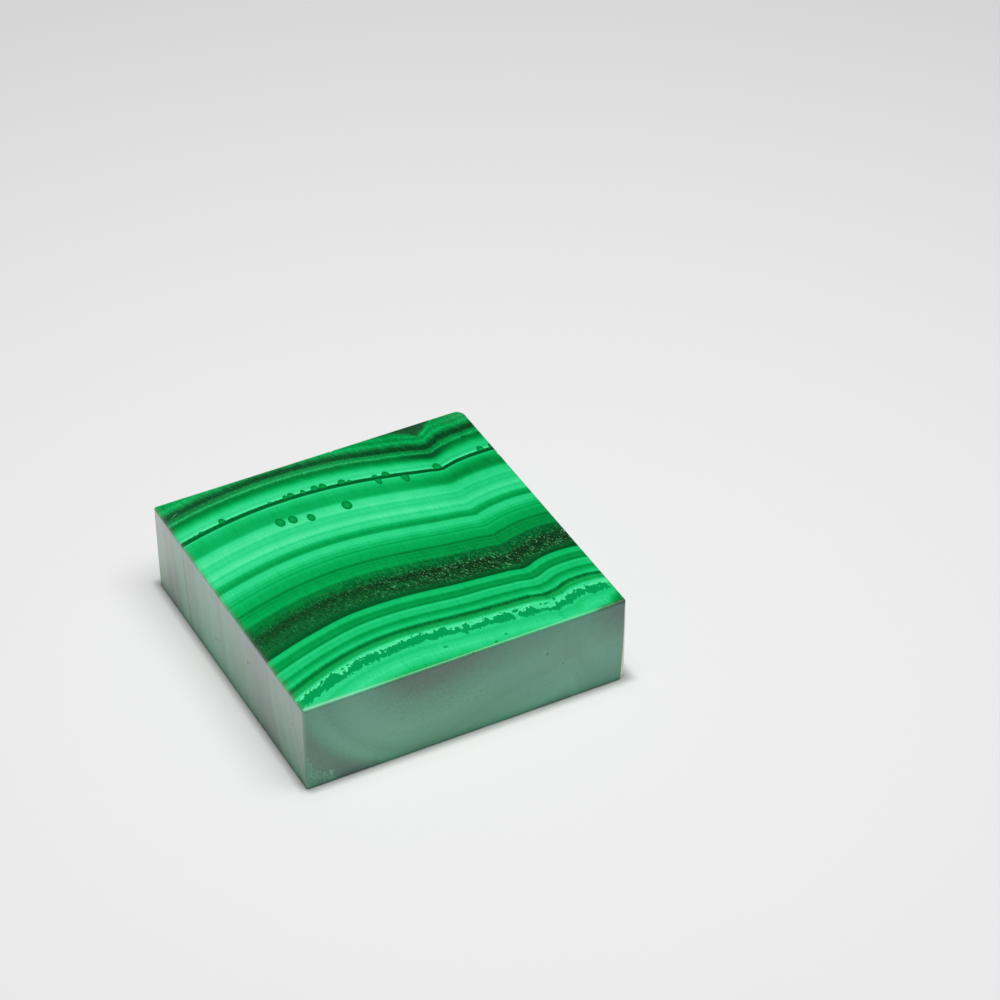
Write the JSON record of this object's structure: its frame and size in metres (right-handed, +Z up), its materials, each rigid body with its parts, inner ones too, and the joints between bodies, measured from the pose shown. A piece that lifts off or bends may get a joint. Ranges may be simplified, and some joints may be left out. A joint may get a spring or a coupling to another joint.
{
  "type": "polished malachite slab",
  "caption": "Square block of banded green malachite with flat polished faces and eased edges; lies flat as a display piece, paperweight or small plinth.",
  "frame": {"origin": "centre of the underside", "axes": "+Z up out of the banded top face, +X to the right along the front edge, +Y from the front edge to the back edge; the growth bands cross the top face roughly along X"},
  "size_m": [0.045, 0.046, 0.0129],
  "materials": {
    "malachite": "polished, banded from pale green to nearly black green"
  },
  "bodies": {
    "root": {"malachite_slab": "malachite"}
  },
  "joints": []
}
